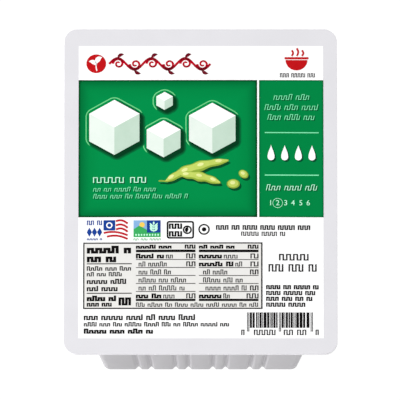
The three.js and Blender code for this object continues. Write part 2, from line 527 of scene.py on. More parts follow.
# Deep phthalo green halftones: even in the middle, and nearly bottle green at the very edge.
LEFT_GREENS = [
    (0.0, "#003416"),
    (0.05, "#004c22"),
    (0.1, "#006a34"),
    (0.3, "#00773c"),
    (0.5, "#008040"),
    (1.0, "#008544"),
]
RIGHT_GREENS = [(0.0, "#005c2e"), (0.25, "#00723b"), (0.5, "#007c3f"), (1.0, "#007d3f")]
LEFT_FADE, RIGHT_FADE = 9, 2
PANEL_INKS = [
    panel_ink("green_ink_left_panel", LEFT_PANEL, LEFT_GREENS, LEFT_FADE),
    panel_ink("green_ink_right_panel", RIGHT_PANEL, RIGHT_GREENS, RIGHT_FADE),
]
panels = [(0, PANEL_LAYER, rectangle, *LEFT_PANEL), (1, PANEL_LAYER, rectangle, *RIGHT_PANEL)]
print_piece("green_panels", PANEL_INKS, panels)

# Tofu cubes -----------------------------------------------------------------------------------
# The large artwork on the left panel: four cubes of white tofu, drawn as blocks seen from a corner.
# Each has a fine light line set off from it and a dark shadow that falls to the lower right.

CUBES = [(-35.4, 27.8, 11.9), (-15.2, 22.8, 8.0), (4.8, 27.4, 11.0), (-14.8, 39.2, 3.9)]
CUBE_ROUNDING = 0.5
CUBE_LINE = 0.42
CUBE_LINE_AWAY = 1.5
SHADOW_SHIFT = (1.0, -1.15)
SHADOW_GROWTHS = (1.3, 0.8, 0.3)
SLANT_OF_CUBE = math.cos(math.radians(30))

# Green and white gravure inks: a light line, shadows that darken inwards in three steps, and the
# top, left and right of a cube, from white to a pale shade.
CUBE_INKS = [
    printed_ink("light_green_line_ink", "#6fd08a", "#68c884"),
    printed_ink("outer_shadow_green_ink", "#006836", "#006332"),
    printed_ink("middle_shadow_green_ink", "#004d27", "#004823"),
    printed_ink("inner_shadow_green_ink", "#00381c", "#003419"),
    printed_ink("white_cube_top_ink", "#f7f8f7", "#f4f5f4"),
    printed_ink("pale_cube_left_ink", "#dfe9e1", "#dae6dd"),
    printed_ink("pale_cube_right_ink", "#bcd2c2", "#b6cdbc"),
]
TOP_INK = 4


def arc_points(x, y, radius, first, last, steps):
    """Points round a centre, from a first angle to a last one, in degrees."""
    turns = [math.radians(first + (last - first) * step / steps) for step in range(steps + 1)]
    return [(x + radius * math.cos(turn), y + radius * math.sin(turn)) for turn in turns]


def cube_outline(flat, x, y, edge, growth, shift=(0, 0)):
    """Adds the outline of a cube seen from a corner, grown all round and moved by a shift."""
    reach = edge + growth / SLANT_OF_CUBE
    polygon(flat, arc_points(x + shift[0], y + shift[1], reach, 90, 390, 5), CUBE_ROUNDING + growth)


def cube_side(flat, x, y, edge, side):
    """Adds the top, the left or the right side of a cube, which spans a third of its outline."""
    first = 30 + 120 * side
    polygon(flat, [(x, y), *arc_points(x, y, edge, first, first + 120, 2)])


def hollow_out(flat, width):
    """Leaves only a line of a given width inside the edge of a shape."""
    for face in flat.faces[:]:
        face.normal_update()
        bmesh.ops.inset_region(
            flat, faces=[face], thickness=width, use_boundary=True, use_even_offset=True
        )
        bmesh.ops.delete(flat, geom=[face], context="FACES")


def cube_line(flat, *cube):
    """Adds the fine line round a cube."""
    cube_outline(flat, *cube, CUBE_LINE_AWAY)
    hollow_out(flat, CUBE_LINE)


cube_shapes = []
for cube in CUBES:
    cube_shapes.append((0, 0, cube_line, *cube))
    for step, growth in enumerate(SHADOW_GROWTHS, 1):
        cube_shapes.append((step, step, cube_outline, *cube, growth, SHADOW_SHIFT))
    for side in range(3):
        cube_shapes.append((TOP_INK + side, TOP_INK, cube_side, *cube, side))
print_piece("cube_artwork", CUBE_INKS, cube_shapes)

# Pods and beans -------------------------------------------------------------------------------
# A sprig of two swollen pods with two loose beans lies below the cubes. Each pod is laid in three
# inks, a dark rim, a lighter body and a bright spot on every swelling, over a dark shadow.

# Each pod: the start, middle and end of its curve, its width and how many swellings it has.
PODS = [
    ((-14.4, 4.2), (-5.0, 11.4), (11.6, 13.4), 4.6, 4),
    ((-8.6, 7.2), (-0.6, 7.6), (8.2, 3.6), 4.2, 3),
]
POD_TIP = 0.15
POD_NIP = 0.24
POD_BLUNTNESS = 0.55
POD_BODY_SHARE = 0.68
POD_BODY_SHIFT = (-0.1, 0.25)
POD_STEM = ((-17.2, 4.6), (-15.8, 4.8), (-14.0, 4.4))
STEM_WIDTH = 0.6
SPOT_LENGTH, SPOT_WIDTH = 0.588, 0.294

# Each loose bean: where its middle lies, its length and width, and how many degrees it is turned.
LOOSE_BEANS = [(13.4, 3.4, 5.3, 4.0, 0), (17.6, 7.6, 4.3, 3.3, -35)]
BEAN_SHARES = (1, 0.8, 0.4)
BEAN_RISE = 0.4
SPRIG_SHADOW_SHIFT = (0.7, -1.0)
POD_STEPS = 32
OVAL_STEPS = 32
STEM_STEPS = 6
NEARBY = 0.001

# Yellow-green gravure inks: from olive at the rim to a pale lime on the swellings.
SPRIG_INKS = [
    printed_ink("sprig_shadow_ink", "#004a26", "#004422"),
    printed_ink("pod_rim_green_ink", "#8ea83c", "#859f35"),
    printed_ink("pod_body_green_ink", "#bccd62", "#b2c456"),
    printed_ink("pod_spot_green_ink", "#dfe59a", "#d6dd8c"),
]


def curve(start, middle, end, shift=(0, 0)):
    """A path from start to end that bends towards the middle point, as a function of 0 to 1."""
    points = [Vector(point) + Vector(shift) for point in (start, middle, end)]

    def path(along):
        back = 1 - along
        return points[0] * back**2 + points[1] * 2 * back * along + points[2] * along**2

    return path


def way_ahead(path, along):
    """Which way a path runs at a place along it."""
    return path(along + NEARBY) - path(along - NEARBY)


def ribbon(flat, path, width, steps):
    """Adds a strip along a path. Its width is a number where it is even, and otherwise a function
    of the way along, from 0 to 1, as the path is."""
    made = bmesh.ops.create_grid(flat, x_segments=steps, y_segments=1, size=0.5)["verts"]
    for vertex in made:
        along = vertex.co.x + 0.5
        ahead = way_ahead(path, along)
        side = Vector((-ahead.y, ahead.x)).normalized()
        wide = width(along) if callable(width) else width
        vertex.co.xy = path(along) + side * vertex.co.y * wide


def pod_outline(flat, pod, share=1, shift=(0, 0)):
    """Adds a pod, or one of a share of its width: nipped in between its beans and pointed at both
    ends."""
    *points, width, swellings = pod

    def width_at(along):
        closing = max(0, math.sin(math.pi * along)) ** POD_BLUNTNESS
        nip = POD_NIP * (1 + math.cos(2 * math.pi * swellings * along)) / 2
        return POD_TIP + width * share * closing * (1 - nip)

    ribbon(flat, curve(*points, shift), width_at, POD_STEPS)


def oval(flat, x, y, length, width, turn=0.0, line=0.0):
    """Adds an oval turned by some degrees, or only its edge where a line width is given."""
    place = Matrix.Translation((x, y, 0)) @ Matrix.Rotation(math.radians(turn), 4, "Z")
    place @= Matrix.Diagonal((length / 2, width / 2, 1, 1))
    bmesh.ops.create_circle(flat, cap_ends=True, segments=OVAL_STEPS, radius=1, matrix=place)
    if line:
        hollow_out(flat, line)


def pod_spots(flat, pod):
    """Adds a bright spot on each swelling of a pod's body."""
    *points, width, swellings = pod
    path = curve(*points, POD_BODY_SHIFT)
    for swelling in range(swellings):
        along = (swelling + 0.5) / swellings
        ahead = way_ahead(path, along)
        spot = path(along) + Vector(POD_BODY_SHIFT)
        turn = math.degrees(math.atan2(ahead.y, ahead.x))
        oval(flat, *spot, width * SPOT_LENGTH, width * SPOT_WIDTH, turn)


def bean(flat, x, y, length, width, turn, share):
    """Adds a bean, or a smaller one of a share of its size that lies up and to the left in it."""
    rise = BEAN_RISE * (1 - share)
    oval(flat, x - rise, y + rise * width / 2, length * share, width * share, turn)


sprig_shapes = [
    (0, 0, ribbon, curve(*POD_STEM, SPRIG_SHADOW_SHIFT), STEM_WIDTH, STEM_STEPS),
    (1, 1, ribbon, curve(*POD_STEM), STEM_WIDTH, STEM_STEPS),
]

# The second pod lies on the first, which has three layers.
for pod, layer in zip(PODS, (1, 4)):
    sprig_shapes += [
        (0, 0, pod_outline, pod, 1, SPRIG_SHADOW_SHIFT),
        (1, layer, pod_outline, pod),
        (2, layer + 1, pod_outline, pod, POD_BODY_SHARE, POD_BODY_SHIFT),
        (3, layer + 2, pod_spots, pod),
    ]
for x, y, *sizes in LOOSE_BEANS:
    shadow_place = (x + SPRIG_SHADOW_SHIFT[0], y + SPRIG_SHADOW_SHIFT[1])
    sprig_shapes.append((0, 0, oval, *shadow_place, *sizes))
    for ink, share in enumerate(BEAN_SHARES, 1):
        sprig_shapes.append((ink, ink, bean, x, y, *sizes, share))
print_piece("sprig_artwork", SPRIG_INKS, sprig_shapes)

# Header ---------------------------------------------------------------------------------------
# Above the panels the white ground carries a red roundel with a seedling, a curling vine in dark
# red, and at the right a small red bowl that steams.

ROUNDEL_MIDDLE = (-42.9, 55.4)
ROUNDEL_SIZE = 8.1
SEEDLING_STEM = ((0.3, -3.1), (-0.2, -1.6), (0.0, 0.0))
SEEDLING_STEM_WIDTH = 0.45

# Each leaf: the start, middle and end of its curve, and its width.
SEEDLING_LEAVES = [
    ((0.0, -0.9), (-0.8, 1.4), (-3.0, 0.9), 1.7),
    ((0.0, -0.2), (0.2, 2.4), (2.4, 2.8), 2.0),
]
LEAF_TIP = 0.1
LEAF_STEPS, SMALL_LEAF_STEPS = 10, 8


def leaf(flat, start, middle, end, width, steps, shift=(0, 0)):
    """Adds a bent leaf, which is widest in the middle and nearly closed at both ends."""

    def width_at(along):
        return LEAF_TIP + width * max(0, math.sin(math.pi * along))

    ribbon(flat, curve(start, middle, end, shift), width_at, steps)


def mirrored(leaf_sizes, across=1, up=1):
    """The sizes of a leaf that is mirrored across or up, where -1 is given."""
    *points, width = leaf_sizes
    return (*[(across * x, up * y) for x, y in points], width)


# Warm red gravure ink, dense and slightly brick, and the same clean white as the ground's.
warm_red_ink = printed_ink("warm_red_ink", "#b91217", "#b20e13")
clean_white_ink = printed_ink("clean_white_ink", "#f7f7f7", "#f4f4f4")
seedling_stem = curve(*SEEDLING_STEM, ROUNDEL_MIDDLE)
roundel_shapes = [
    (0, 0, oval, *ROUNDEL_MIDDLE, ROUNDEL_SIZE, ROUNDEL_SIZE),
    (1, 1, ribbon, seedling_stem, SEEDLING_STEM_WIDTH, STEM_STEPS),
    *[(1, 1, leaf, *sizes, LEAF_STEPS, ROUNDEL_MIDDLE) for sizes in SEEDLING_LEAVES],
]
print_piece("header_roundel", [warm_red_ink, clean_white_ink], roundel_shapes)

VINE_START, VINE_END = -37.6, 4.0
VINE_MIDDLE = 55.3
VINE_SWING = 2.5
VINE_BENDS = 6
VINE_WIDTH = 0.95
VINE_LEAF = ((0, 0), (0.9, 1.9), (2.6, 1.6), 1.3)
BEND_STEPS = 12
BEND_LENGTH = (VINE_END - VINE_START) / VINE_BENDS
CURL_RADIUS = 2.3
CURL_TURNS = 1.4
CURL_PLACE = 0.55
CURL_RISE = 0.1
CURL_TIGHTENING = 0.8
CURL_TAPER = 0.3
CURL_STEPS = 24


def vine(along):
    """The vine's path: a row of even bends, up and down in turn."""
    swing = VINE_SWING * math.sin(math.pi * VINE_BENDS * along)
    return Vector((VINE_START + (VINE_END - VINE_START) * along, VINE_MIDDLE + swing))


def curl(bend, way):
    """The path of the tendril that leaves the vine and curls up inside a bend."""
    middle = VINE_START + (bend + CURL_PLACE) * BEND_LENGTH
    centre = Vector((middle, VINE_MIDDLE + way * CURL_RISE))

    def path(along):
        turn = math.pi - 2 * math.pi * CURL_TURNS * along
        radius = CURL_RADIUS * (1 - CURL_TIGHTENING * along)
        return centre + Vector((math.cos(turn), way * math.sin(turn))) * radius

    return path


def curl_width(along):
    """The width along a tendril, which gets finer towards its tip."""
    return VINE_WIDTH * (1 - CURL_TAPER * along)


# Dark red ink that was printed as a blend, nearly maroon at the top and the foot of the vine. Its
# gloss drifts a little, as that of all the inks does.
BLEND_REACH = 4
vine_ink, tree, place, drift = new_material("maroon_to_red_ink", INK_DRIFT, detail=4)
vine_span = {
    "Value": add_node(tree, "SeparateXYZ", {"Vector": place}).outputs["Y"],
    "From Min": (VINE_MIDDLE - BLEND_REACH) * MM,
    "From Max": (VINE_MIDDLE + BLEND_REACH) * MM,
}
vine_height = add_node(tree, "MapRange", vine_span)
vine_stops = [(0.1, "#66101e"), (0.5, "#b8001c"), (0.9, "#66101e")]
vine_red = add_node(tree, "ValToRGB", {"Fac": vine_height}, vine_stops)
smooth_finish(tree, vine_red, drift, smoothest=0.16, roughest=0.24, shine=0.15)
vine_shapes = [(0, 0, ribbon, vine, VINE_WIDTH, BEND_STEPS * VINE_BENDS)]
for bend in range(VINE_BENDS):
    way = 1 if bend % 2 == 0 else -1
    crest = vine((bend + 0.5) / VINE_BENDS)
    vine_shapes += [
        (0, 0, ribbon, curl(bend, way), curl_width, CURL_STEPS),
        (0, 0, leaf, *mirrored(VINE_LEAF, up=way), SMALL_LEAF_STEPS, crest),
    ]
print_piece("header_vine", [vine_ink], vine_shapes)

BOWL = (39.4, 57.0)
BOWL_RADIUS = 4.5
BOWL_STEPS = 24
BOWL_RIM = (34.45, 44.35, 57.3, 58.25, 0.3)

# Each puff of steam: the start, middle and end of its curve.
STEAM = [
    ((37.4, 58.8), (38.6, 59.9), (37.4, 61.22)),
    ((39.5, 58.8), (40.7, 60.3), (39.5, 62.1)),
    ((41.6, 58.8), (42.8, 59.9), (41.6, 61.22)),
]
STEAM_WIDTH = 0.75
STEAM_STEPS = 8
bowl_shapes = [
    (0, 0, polygon, arc_points(*BOWL, BOWL_RADIUS, 180, 360, BOWL_STEPS)),
    (0, 0, rectangle, *BOWL_RIM),
    *[(0, 0, ribbon, curve(*puff), STEAM_WIDTH, STEAM_STEPS) for puff in STEAM],
]
print_piece("header_bowl", [warm_red_ink], bowl_shapes)

# Small print ----------------------------------------------------------------------------------
# In place of each line of wording the pack has a plain meander, broken into short lengths. It is as
# tall, as bold and as close as real small print, in black ink on the white ground.

TALL_SHARE = 0.3
X_HEIGHT = 0.74
BAR_SHARE = 0.8
WORD_LENGTH = (4, 9)
PRINT_ROWS = 3
FOOT_ROW, TOP_ROW = 0, 2


def small_print(flat, line, capitals=False, slant=0.0, shift=(0, 0)):
    """Adds a line of meander: strokes joined at the top and at the foot in turn, with a gap after
    each word. A line is its left, right, bottom and top, the width of its strokes and the way from
    one to the next. Its place seeds the draws, so that a line and its shadow come out alike."""
    left, right, bottom, top, stroke, pitch = line
    draw = random.Random(f"{left} {bottom}")
    slots = round((right - left - stroke) / pitch) + 1
    step = (right - left - stroke) / (slots - 1)
    bar = BAR_SHARE * stroke
    x_top = bottom + X_HEIGHT * (top - bottom)
    tops = [top if capitals or draw.random() < TALL_SHARE else x_top for slot in range(slots)]
    spaces = set()
    space = draw.randint(*WORD_LENGTH)
    while space < slots - 2:
        spaces.add(space)
        space += draw.randint(*WORD_LENGTH) + 1
    joined_rows = []
    for slot in range(slots):
        closes_arch = slot > 0 and slot - 1 not in spaces and joined_rows[-1] == TOP_ROW
        if closes_arch:
            tops[slot] = tops[slot - 1]
        joined_rows.append(FOOT_ROW if closes_arch else TOP_ROW)
    columns = 2 * slots - 1
    bmesh.ops.create_grid(flat, x_segments=columns, y_segments=PRINT_ROWS, size=0.5)
    empty = []
    for face in flat.faces:
        middle = face.calc_center_median()
        column, row = int((middle.x + 0.5) * columns), int((middle.y + 0.5) * PRINT_ROWS)
        slot, in_gap = divmod(column, 2)
        gap_open = in_gap and (slot + 1 in spaces or row != joined_rows[slot])
        if slot in spaces or gap_open:
            empty.append(face)
    for vertex in flat.verts:
        edge = round((vertex.co.x + 0.5) * columns)
        row = round((vertex.co.y + 0.5) * PRINT_ROWS)
        slot, far_side = divmod(edge, 2)
        y = (bottom, bottom + bar, tops[slot] - bar, tops[slot])[row]
        x = left + slot * step + far_side * stroke + slant * (y - bottom)
        vertex.co = (x + shift[0], y + shift[1], 0)
    bmesh.ops.delete(flat, geom=empty, context="FACES")


# Black gravure ink: a slightly warm, dense black with the film's own gloss over it.
black_ink = printed_ink("black_text_ink", "#110f10", "#0d0b0c", shine=0.08)
CAPTION_LINE = (32.6, 46.9, 49.5, 51.3, 0.32, 0.68)

# The lines below the panels and beside the table, all in capitals.
SIDE_LINES = [
    (6.3, 44.9, -16.4, -14.4, 0.56, 0.9),
    (16.6, 34.6, -19.0, -17.2, 0.4, 0.82),
    (32.1, 44.2, -29.5, -26.7, 0.6, 1.4),
    (27.8, 47.5, -34.3, -31.1, 0.6, 1.36),
    (26.8, 48.3, -41.9, -40.1, 0.6, 0.88),
    (26.8, 46.9, -44.4, -42.6, 0.56, 0.9),
    (26.8, 45.7, -46.9, -45.1, 0.6, 0.9),
    (26.8, 42.8, -49.4, -47.6, 0.56, 0.9),
]
ADDRESS_LINES = [
    (-47.8, -2.3, -55.1, -52.6, 0.63, 1.02),
    (-47.8, 11.6, -57.8, -55.9, 0.44, 0.8),
    (-47.8, -19.5, -60.9, -58.7, 0.78, 1.06),
]
print_piece("header_caption", [black_ink], [(0, 0, small_print, CAPTION_LINE, True)])
print_piece("side_lines", [black_ink], [(0, 0, small_print, line, True) for line in SIDE_LINES])
print_piece("address_lines", [black_ink], [(0, 0, small_print, line) for line in ADDRESS_LINES])

# Panel print ----------------------------------------------------------------------------------
# Pale lines on the two green panels. The left panel has three lines below its artwork. The right
# one has three slanted lines, a row of four drops between two rules, a slanted line and a scale.

PANEL_HEADING = (-44.1, -22.4, 3.9, 6.3, 0.4, 1.5)
SCALE_HEADING = (26.8, 47.4, 0.7, 3.2, 0.27, 1.06)
PANEL_LINES = [
    (-44.1, -18.7, 0.2, 2.1, 0.24, 0.86),
    (-44.1, -5.6, -2.8, -0.9, 0.24, 0.86),
    (29.9, 44.3, 39.8, 42.2, 0.27, 1.0),
    (26.2, 47.8, 35.4, 37.8, 0.27, 1.0),
    (27.4, 46.4, 31.1, 33.5, 0.27, 1.0),
]
ITALIC = 0.22
PRINT_SHADOW_SHIFT = (0.4, -0.4)
RULES = [(26.35, 48.5, 25.35, 25.75), (26.35, 48.5, 7.0, 7.45)]
DROPS = (28.9, 34.5, 40.1, 45.7)
DROP_BOTTOM, DROP_TOP = 13.6, 20.2
DROP_RADIUS = 1.42
DROP_POINT = 1.3
DROP_END = 0.002
DROP_STEPS = 28
DROP_SHADOW_SHIFT = (0.6, -0.7)

# Gravure inks: dark green below, to lift the others off the panel, then white, a pale green for
# headings, and a mint green for the finest lines, which dull in print on green.
pale_print_ink = printed_ink("pale_print_ink", "#c0f6da", "#b8f0d2")
PANEL_PRINT_INKS = [
    printed_ink("print_shadow_green_ink", "#00492a", "#004424"),
    clean_white_ink,
    pale_print_ink,
    printed_ink("mint_print_ink", "#82e6b2", "#7ae0aa"),
]


def drop_width(along):
    """The width of a drop from its foot to its tip: half a circle below, and pointed above."""
    height = min(max(along, DROP_END), 1 - DROP_END) * (DROP_TOP - DROP_BOTTOM)
    if height < DROP_RADIUS:
        return 2 * math.sqrt(DROP_RADIUS**2 - (DROP_RADIUS - height) ** 2)
    above = (height - DROP_RADIUS) / (DROP_TOP - DROP_BOTTOM - DROP_RADIUS)
    return 2 * DROP_RADIUS * math.cos(QUARTER_TURN * above) ** DROP_POINT


# Every heading and line has a shadow in the first ink: its own ink, its sizes, whether it is all
# capitals, and its slant.
panel_marks = [
    (2, PANEL_HEADING, True, 0.0),
    (2, SCALE_HEADING, False, ITALIC),
    *[(3, line, False, ITALIC) for line in PANEL_LINES],
]
panel_shapes = [(3, 1, rectangle, *rule) for rule in RULES]
for ink, *mark in panel_marks:
    panel_shapes += [
        (0, 0, small_print, *mark, PRINT_SHADOW_SHIFT),
        (ink, 1, small_print, *mark),
    ]
for x in DROPS:
    points = ((x, DROP_BOTTOM), (x, (DROP_BOTTOM + DROP_TOP) / 2), (x, DROP_TOP))
    panel_shapes += [
        (0, 0, ribbon, curve(*points, DROP_SHADOW_SHIFT), drop_width, DROP_STEPS),
        (1, 1, ribbon, curve(*points), drop_width, DROP_STEPS),
    ]
print_piece("panel_print", PANEL_PRINT_INKS, panel_shapes)

# Scale ----------------------------------------------------------------------------------------
# A plain scale from 1 to 6, printed in pale ink on the right panel, with a fine ring round the
# second number.

SCALE_PLACES = [28.7, 31.6, 34.9, 37.9, 41.1, 44.1]
SCALE_MIDDLE = -4.8
SCALE_SIZE = 3.2
SCALE_RING = (SCALE_PLACES[1], SCALE_MIDDLE, 4.2, 4.2, 0, 0.16)


def number_mark(flat, body, x, y, size):
    """Adds a number to flat artwork, in the plain built-in type."""
    type_data = bpy.data.curves.new("number", "FONT")
    type_data.body = body
    type_data.size = size
    type_data.align_x = "CENTER"
    type_data.align_y = "CENTER"
    type_data.resolution_u = 4
    type_object = bpy.data.objects.new("number", type_data)
    mesh = bpy.data.meshes.new_from_object(type_object)
    mesh.transform(Matrix.Translation((x, y, 0)))
    flat.from_mesh(mesh)
    bmesh.ops.remove_doubles(flat, verts=flat.verts, dist=SAME_PLACE)
    bpy.data.objects.remove(type_object)
    bpy.data.curves.remove(type_data)
    bpy.data.meshes.remove(mesh)


scale_shapes = [(0, 0, oval, *SCALE_RING)]
for number, x in enumerate(SCALE_PLACES, 1):
    scale_shapes.append((0, 0, number_mark, str(number), x, SCALE_MIDDLE, SCALE_SIZE))
print_piece("scale_numbers", [pale_print_ink], scale_shapes)

# Tiles ----------------------------------------------------------------------------------------
# A row of small printed tiles between the panels and the table: diamonds beside a striped pennant,
# a landscape beside an ear of wheat, a black outlined plate with a leaf in a ring, and a target.

# Gravure inks: clear primaries for the tiles, and the white, pale green and black of the rest.
NAVY, SKY, LEAF, RED, SUN, WHITE, PALE, BLACK = range(8)
TILE_INKS = [
    printed_ink("navy_tile_ink", "#1b3f90", "#173a88"),
    printed_ink("sky_tile_ink", "#84acd6", "#7da5cf"),
    printed_ink("leaf_tile_ink", "#3aa55b", "#349e54"),
    printed_ink("pennant_red_ink", "#b8262e", "#b01f27"),
    printed_ink("sun_tile_ink", "#f2c95c", "#edc153"),
    clean_white_ink,
    pale_print_ink,
    black_ink,
]

TALL_DIAMONDS = [(x, -17.3, 2.1, 3.9) for x in (-45.6, -43.5, -41.4)]
PENNANT_CORNER = (-39.8, -35.0, -16.6, -12.2, 0.3)
PENNANT_RING = (-37.4, -14.4, 2.6, 2.6, 0, 0.5)

# Each stripe hangs in a wave from its left end to the pennant's free edge.
STRIPES = [(-34.7, -12.7), (-34.7, -14.5), (-34.7, -16.2), (-39.7, -17.7), (-38.4, -19.3)]
STRIPE_WIDTH = 0.85
STRIPE_RISE = 1.3
STRIPE_DROP = 1.0
STRIPE_STEPS = 10
PENNANT_EDGE = -29.9
LANDSCAPE_SKY = (-27.5, -22.0, -17.6, -12.3)
LANDSCAPE_SUN = (-24.0, -14.2, 2.2, 2.2)
HILL = [(-27.5, -17.6), (-22.0, -17.6), (-22.0, -16.4), (-25.2, -14.6), (-27.5, -16.2)]
LANDSCAPE_BORDER = (-27.5, -16.4, -19.5, -17.6)
BORDER_DIAMONDS = [(-26.45 + 1.13 * number, -18.55, 0.8, 1.1) for number in range(9)]
WHEAT_FIELD = (-22.0, -16.4, -17.6, -12.3)
EAR_MIDDLE = -19.2
EAR_STEM = ((EAR_MIDDLE, -17.3), (EAR_MIDDLE, -16.0), (EAR_MIDDLE, -14.0))
EAR_STEM_WIDTH = 0.3
EAR_STEM_STEPS = 4
EAR_GRAIN_PLACES = (-16.9, -15.9, -14.9)
EAR_GRAIN = ((0.1, 0), (0.9, 0.2), (1.6, 1.5), 0.7)
EAR_TOP_GRAIN = ((EAR_MIDDLE, -14.3), (EAR_MIDDLE, -13.5), (EAR_MIDDLE, -12.8), 0.65)
PLATE = (-13.9, -2.7, -20.2, -12.6, 1.0)
PLATE_LINE = 0.68
PLATE_RING = (-5.45, -16.4, 3.7, 3.7, 0, 0.62)
PLATE_LEAF = ((-5.6, -17.6), (-6.1, -16.2), (-5.1, -15.1), 1.3)
TARGET_RING = (1.4, -16.2, 4.7, 4.7, 0, 0.6)
TARGET_SPOT = (1.4, -16.2, 1.8, 1.8)
TILE_LINES = [
    (NAVY, (-46.6, -40.4, -14.3, -12.3, 0.42, 0.84)),
    (NAVY, (-46.6, -40.4, -20.8, -20.0, 0.3, 0.62)),
    (LEAF, (-27.5, -16.4, -20.9, -20.1, 0.22, 0.62)),
    (BLACK, (-13.0, -7.6, -16.0, -13.7, 0.74, 1.04)),
    (BLACK, (-13.0, -7.6, -19.3, -17.0, 0.74, 1.04)),
]


def diamond(flat, x, y, width, height):
    """Adds an upright diamond to flat artwork."""
    sides = [(x - width / 2, y), (x + width / 2, y)]
    polygon(flat, [sides[0], (x, y - height / 2), sides[1], (x, y + height / 2)])


def stripe(flat, left, top):
    """Adds one of the pennant's stripes."""
    middle = ((left + PENNANT_EDGE) / 2, top + STRIPE_RISE)
    path = curve((left, top), middle, (PENNANT_EDGE, top - STRIPE_DROP))
    ribbon(flat, path, STRIPE_WIDTH, STRIPE_STEPS)


def frame_line(flat, line, *sizes):
    """Adds only the edge of a rectangle, as a line of a given width."""
    rectangle(flat, *sizes)
    hollow_out(flat, line)


tile_shapes = [(ink, 0, small_print, line, True) for ink, line in TILE_LINES]

tile_shapes += [(NAVY, 0, diamond, *sizes) for sizes in TALL_DIAMONDS]
tile_shapes += [
    (NAVY, 0, rectangle, *PENNANT_CORNER),
    (WHITE, 1, oval, *PENNANT_RING),
    *[(RED, 0, stripe, *left_end) for left_end in STRIPES],
    (SKY, 0, rectangle, *LANDSCAPE_SKY),
    (SUN, 1, oval, *LANDSCAPE_SUN),
    (LEAF, 2, polygon, HILL),
    (NAVY, 0, rectangle, *WHEAT_FIELD),
    (LEAF, 0, rectangle, *LANDSCAPE_BORDER),
    *[(PALE, 1, diamond, *sizes) for sizes in BORDER_DIAMONDS],
    (PALE, 1, ribbon, curve(*EAR_STEM), EAR_STEM_WIDTH, EAR_STEM_STEPS),
    (PALE, 1, leaf, *EAR_TOP_GRAIN, SMALL_LEAF_STEPS),
]

# The grains of the ear grow from its stem in pairs.
for y in EAR_GRAIN_PLACES:
    for way in (-1, 1):
        grain = mirrored(EAR_GRAIN, across=way)
        tile_shapes.append((PALE, 1, leaf, *grain, SMALL_LEAF_STEPS, (EAR_MIDDLE, y)))
tile_shapes += [
    (BLACK, 0, frame_line, PLATE_LINE, *PLATE),
    (BLACK, 0, oval, *PLATE_RING),
    (BLACK, 0, leaf, *PLATE_LEAF, LEAF_STEPS),
    (BLACK, 0, oval, *TARGET_RING),
    (BLACK, 0, oval, *TARGET_SPOT),
]
print_piece("tile_row", TILE_INKS, tile_shapes)

# Table ----------------------------------------------------------------------------------------
# A framed table of small print on a warm grey fill: a heading column, and two columns of rows that
# are parted by fine rules, with a heavy rule above and below.

TABLE = (-48.1, 25.3, -50.35, -21.8)
TABLE_LINE = 0.52
COLUMNS = [(-26.5, -2.1), (-0.7, 23.7)]

# Each row: its indent, the lengths of its bold and its light strokes, and that of the share at its
# right end.
ROWS = [
    [
        (0, 11.5, 2.8, 3.8),
        (1.1, 0, 11.5, 3.8),
        (1.1, 0, 13.2, 0),
        (1.1, 0, 19.4, 0),
        (1.1, 0, 18.8, 0),
        (0, 10.4, 4.6, 3.8),
    ],
    [
        (0, 9.4, 5.6, 3.3),
        (0, 14.1, 2.8, 3.3),
        (1.7, 0, 9.9, 3.5),
        (1.7, 0, 16.2, 0),
        (2.7, 0, 16.8, 3.5),
        (0, 9.2, 2.6, 4.9),
    ],
]
ROW_TOP, ROW_PITCH, ROW_HEIGHT = -26.6, 3.42, 2.1
BOLD, LIGHT, SHARE = (0.78, 1.1), (0.39, 0.82), (0.5, 1.16)
GAP = 0.8
FINE_RULE = 0.3
FINE_RULE_RISE = 0.85
HEAVY_RULES = [(-26.03, -24.93), (-46.97, -46.0)]
COLUMN_HEADING, SHARE_HEADING = (-24.5, -22.8, 0.7, 0.92), (-24.5, -22.8, 0.59, 0.94)
COLUMN_HEADING_LENGTH, SHARE_HEADING_LENGTH = 14.6, 4.4
HEADING_COLUMN = (-46.6, -28.2)
HEADING_RULES = [(-31.15, -30.75), (-43.8, -43.4)]
HEADING_LINES = [
    (-46.6, -28.5, -26.5, -23.2, 1.3, 1.66),
    (-46.6, -34.6, -30.3, -27.0, 1.18, 1.62),
    (-46.6, -28.5, -33.9, -32.0, 0.46, 0.83),
    (-46.6, -32.3, -36.3, -34.5, 0.43, 0.83),
    (-46.6, -30.5, -39.6, -37.4, 0.61, 0.98),
    (-46.6, -34.0, -42.7, -40.4, 0.63, 0.98),
    (-46.6, -34.6, -47.0, -44.6, 0.9, 1.14),
]
TOTAL_LINES = [(-33.6, -28.5, -48.8, -45.4, 1.06, 1.6), (-46.6, -36.4, -49.3, -47.7, 0.62, 0.9)]
FOOT_LINE = (-26.5, 23.5, -49.4, -47.6, 0.38, 0.8)

